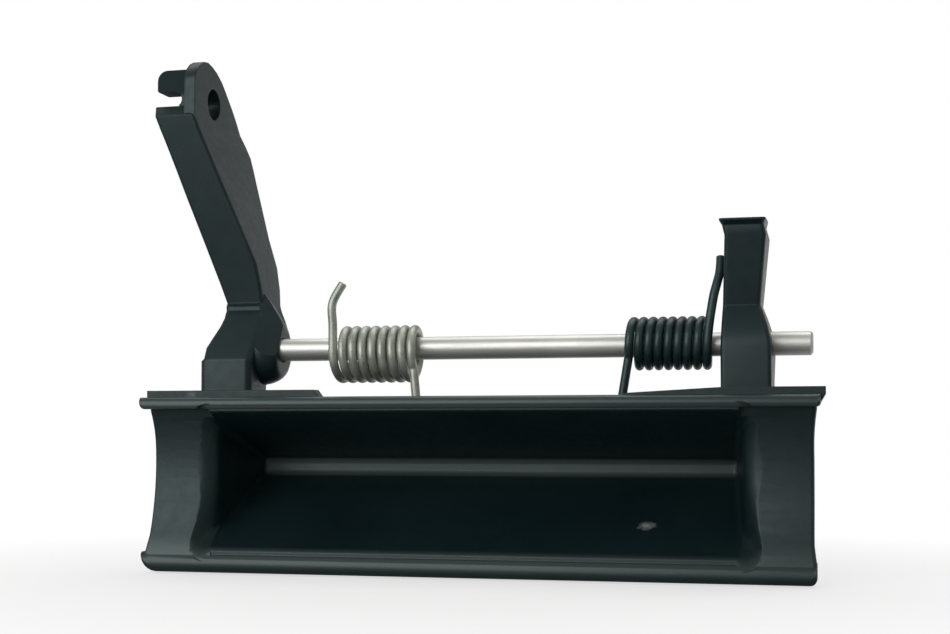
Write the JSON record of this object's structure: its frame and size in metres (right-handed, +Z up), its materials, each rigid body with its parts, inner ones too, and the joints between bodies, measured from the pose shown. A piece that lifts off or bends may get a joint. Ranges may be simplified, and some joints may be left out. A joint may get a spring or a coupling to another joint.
{
  "type": "tailgate handle",
  "caption": "Hinged pull handle with a wide dished finger cup, upstanding crank arms, a straight pivot shaft and torsion return springs.",
  "frame": {"origin": "on the pivot shaft's axis, halfway along the pull cup", "axes": "+X along the pivot shaft towards the short arm, +Z up towards the arms' heads, and the pull cup opens towards -Y"},
  "size_m": [0.1656, 0.0363, 0.1285],
  "materials": {
    "black_moulding": "satin, fine grained",
    "bright_steel": "bright drawn",
    "grey_zinc": "zinc plated, dull",
    "black_spring": "black phosphated, oiled"
  },
  "bodies": {
    "shaft": {"pivot_shaft": "bright_steel", "return_spring_left": "grey_zinc", "return_spring_right": "black_spring"},
    "handle": {"handle_moulding": "black_moulding"}
  },
  "joints": [
    {"name": "handle_swing", "type": "hinge", "parent": "shaft", "child": "handle", "pos_m": [0, 0, 0], "axis": [-1, 0, 0], "range_deg": [0, 35], "stiffness_Nm_per_rad": 0.4, "springref_deg": -45.84, "deforming": ["return_spring_left", "return_spring_right"]}
  ]
}
